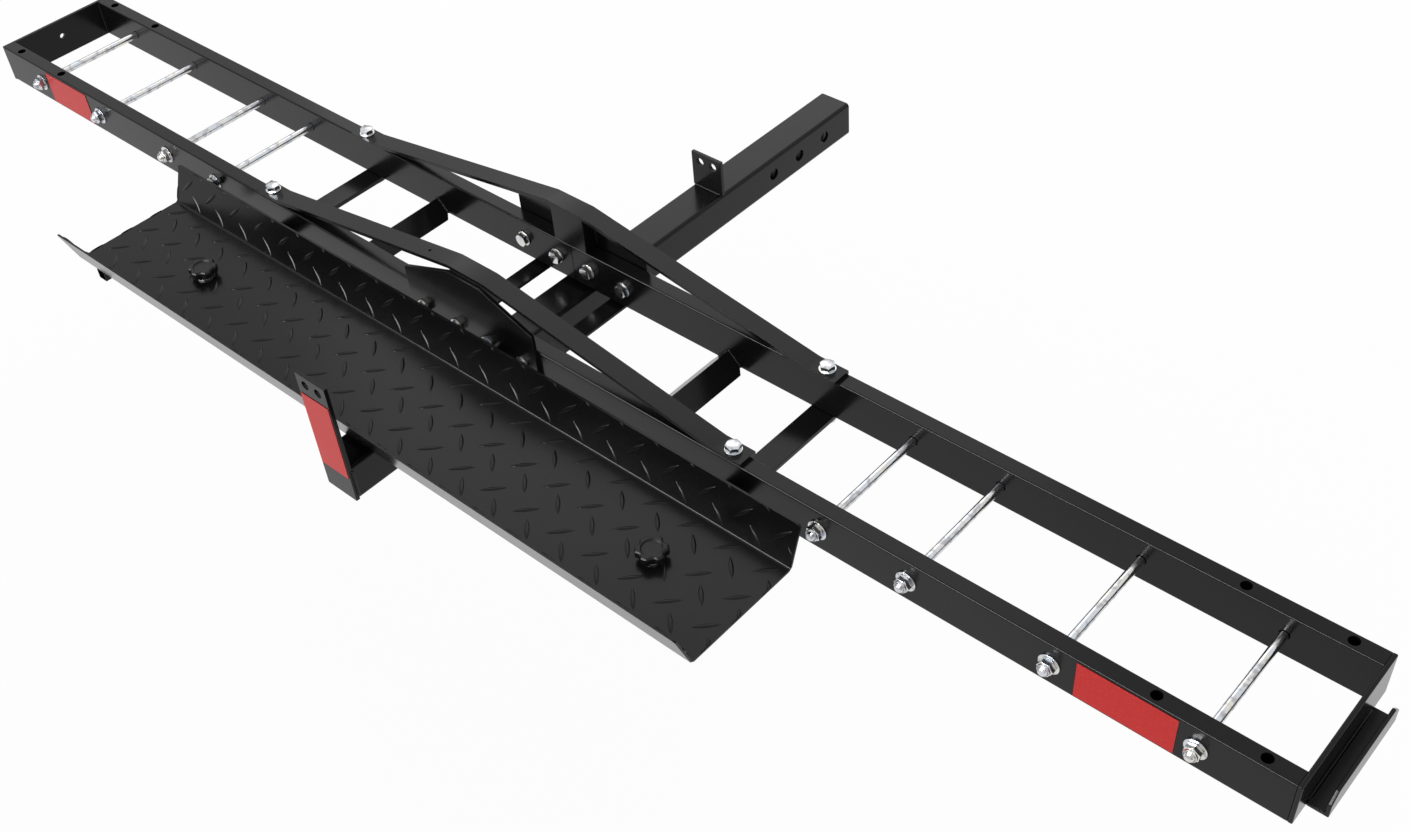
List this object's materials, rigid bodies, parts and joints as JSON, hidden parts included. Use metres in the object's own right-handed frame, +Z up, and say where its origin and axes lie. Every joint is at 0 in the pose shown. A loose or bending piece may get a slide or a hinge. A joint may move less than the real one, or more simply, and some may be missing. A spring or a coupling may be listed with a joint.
{
  "type": "hitch motorcycle carrier",
  "caption": "Long wheel track on a square hitch tube, with arch bars over its joint, zinc cross rods, red reflectors and a lift-off tread-plate ramp held by two knobs.",
  "frame": {"origin": "on the axis of the hitch tube, at the centre of the pin hole nearest the vehicle", "axes": "+X along the track to the right as seen from behind the vehicle, +Y towards the vehicle along the hitch tube, +Z up"},
  "size_m": [2.115, 0.9193, 0.1728],
  "materials": {
    "black_powder_coat": "satin",
    "black_tread_plate": "satin",
    "zinc_plate": "bright",
    "red_reflector": "gloss",
    "black_knob_plastic": "matte"
  },
  "bodies": {
    "root": {"hitch_beam": "black_powder_coat", "front_upright_plate": "black_powder_coat", "rear_upright_plate": "black_powder_coat", "rear_centre_plate": "black_powder_coat", "front_centre_plate": "black_powder_coat", "left_centre_tie": "black_powder_coat", "right_centre_tie": "black_powder_coat", "rear_left_rail": "black_powder_coat", "rear_right_rail": "black_powder_coat", "front_left_rail": "black_powder_coat", "front_right_rail": "black_powder_coat", "left_end_plate": "black_powder_coat", "right_end_plate": "black_powder_coat", "ramp_bracket": "black_powder_coat", "left_angle_tie": "black_powder_coat", "right_angle_tie": "black_powder_coat", "rear_arch_bar": "black_powder_coat", "front_arch_bar": "black_powder_coat", "rear_arch_post": "black_powder_coat", "front_arch_post": "black_powder_coat", "left_ramp_arm": "black_powder_coat", "right_ramp_arm": "black_powder_coat", "cross_rod_1": "zinc_plate", "cross_rod_2": "zinc_plate", "cross_rod_3": "zinc_plate", "cross_rod_4": "zinc_plate", "cross_rod_5": "zinc_plate", "cross_rod_6": "zinc_plate", "cross_rod_7": "zinc_plate", "cross_rod_8": "zinc_plate", "rod_nuts": "zinc_plate", "rod_washers": "zinc_plate", "plate_bolts": "zinc_plate", "plate_nuts": "zinc_plate", "plate_washers": "zinc_plate", "arch_bolts": "zinc_plate", "arch_nuts": "zinc_plate", "arch_washers": "zinc_plate", "knob_nuts": "zinc_plate", "left_rail_reflector": "red_reflector", "right_rail_reflector": "red_reflector", "rear_reflector": "red_reflector"},
    "ramp": {"ramp": "black_tread_plate", "ramp_hook_bar": "black_powder_coat"},
    "left_knob_washer": {"left_knob_washer": "zinc_plate"},
    "left_knob": {"left_knob": "black_knob_plastic", "left_knob_stud": "zinc_plate"},
    "right_knob_washer": {"right_knob_washer": "zinc_plate"},
    "right_knob": {"right_knob": "black_knob_plastic", "right_knob_stud": "zinc_plate"}
  },
  "joints": [
    {"name": "ramp_lift", "type": "slide", "parent": "root", "child": "ramp", "axis": [0, 0, 1], "range_m": [0, 0.15]},
    {"name": "left_knob_rise", "type": "slide", "parent": "ramp", "child": "left_knob_washer", "axis": [0, 0, 1], "range_m": [0, 0.01125]},
    {"name": "left_knob_turn", "type": "hinge", "parent": "left_knob_washer", "child": "left_knob", "pos_m": [-0.393, -0.7512, 0.0359], "axis": [0, 0, 1], "range_deg": [0, 2700]},
    {"name": "right_knob_rise", "type": "slide", "parent": "ramp", "child": "right_knob_washer", "axis": [0, 0, 1], "range_m": [0, 0.01125]},
    {"name": "right_knob_turn", "type": "hinge", "parent": "right_knob_washer", "child": "right_knob", "pos_m": [0.393, -0.7512, 0.0359], "axis": [0, 0, 1], "range_deg": [0, 2700]}
  ],
  "couplings": [
    {"joint": "left_knob_rise", "follows": "left_knob_turn", "m_per_rad": 0.00023873},
    {"joint": "right_knob_rise", "follows": "right_knob_turn", "m_per_rad": 0.00023873}
  ]
}
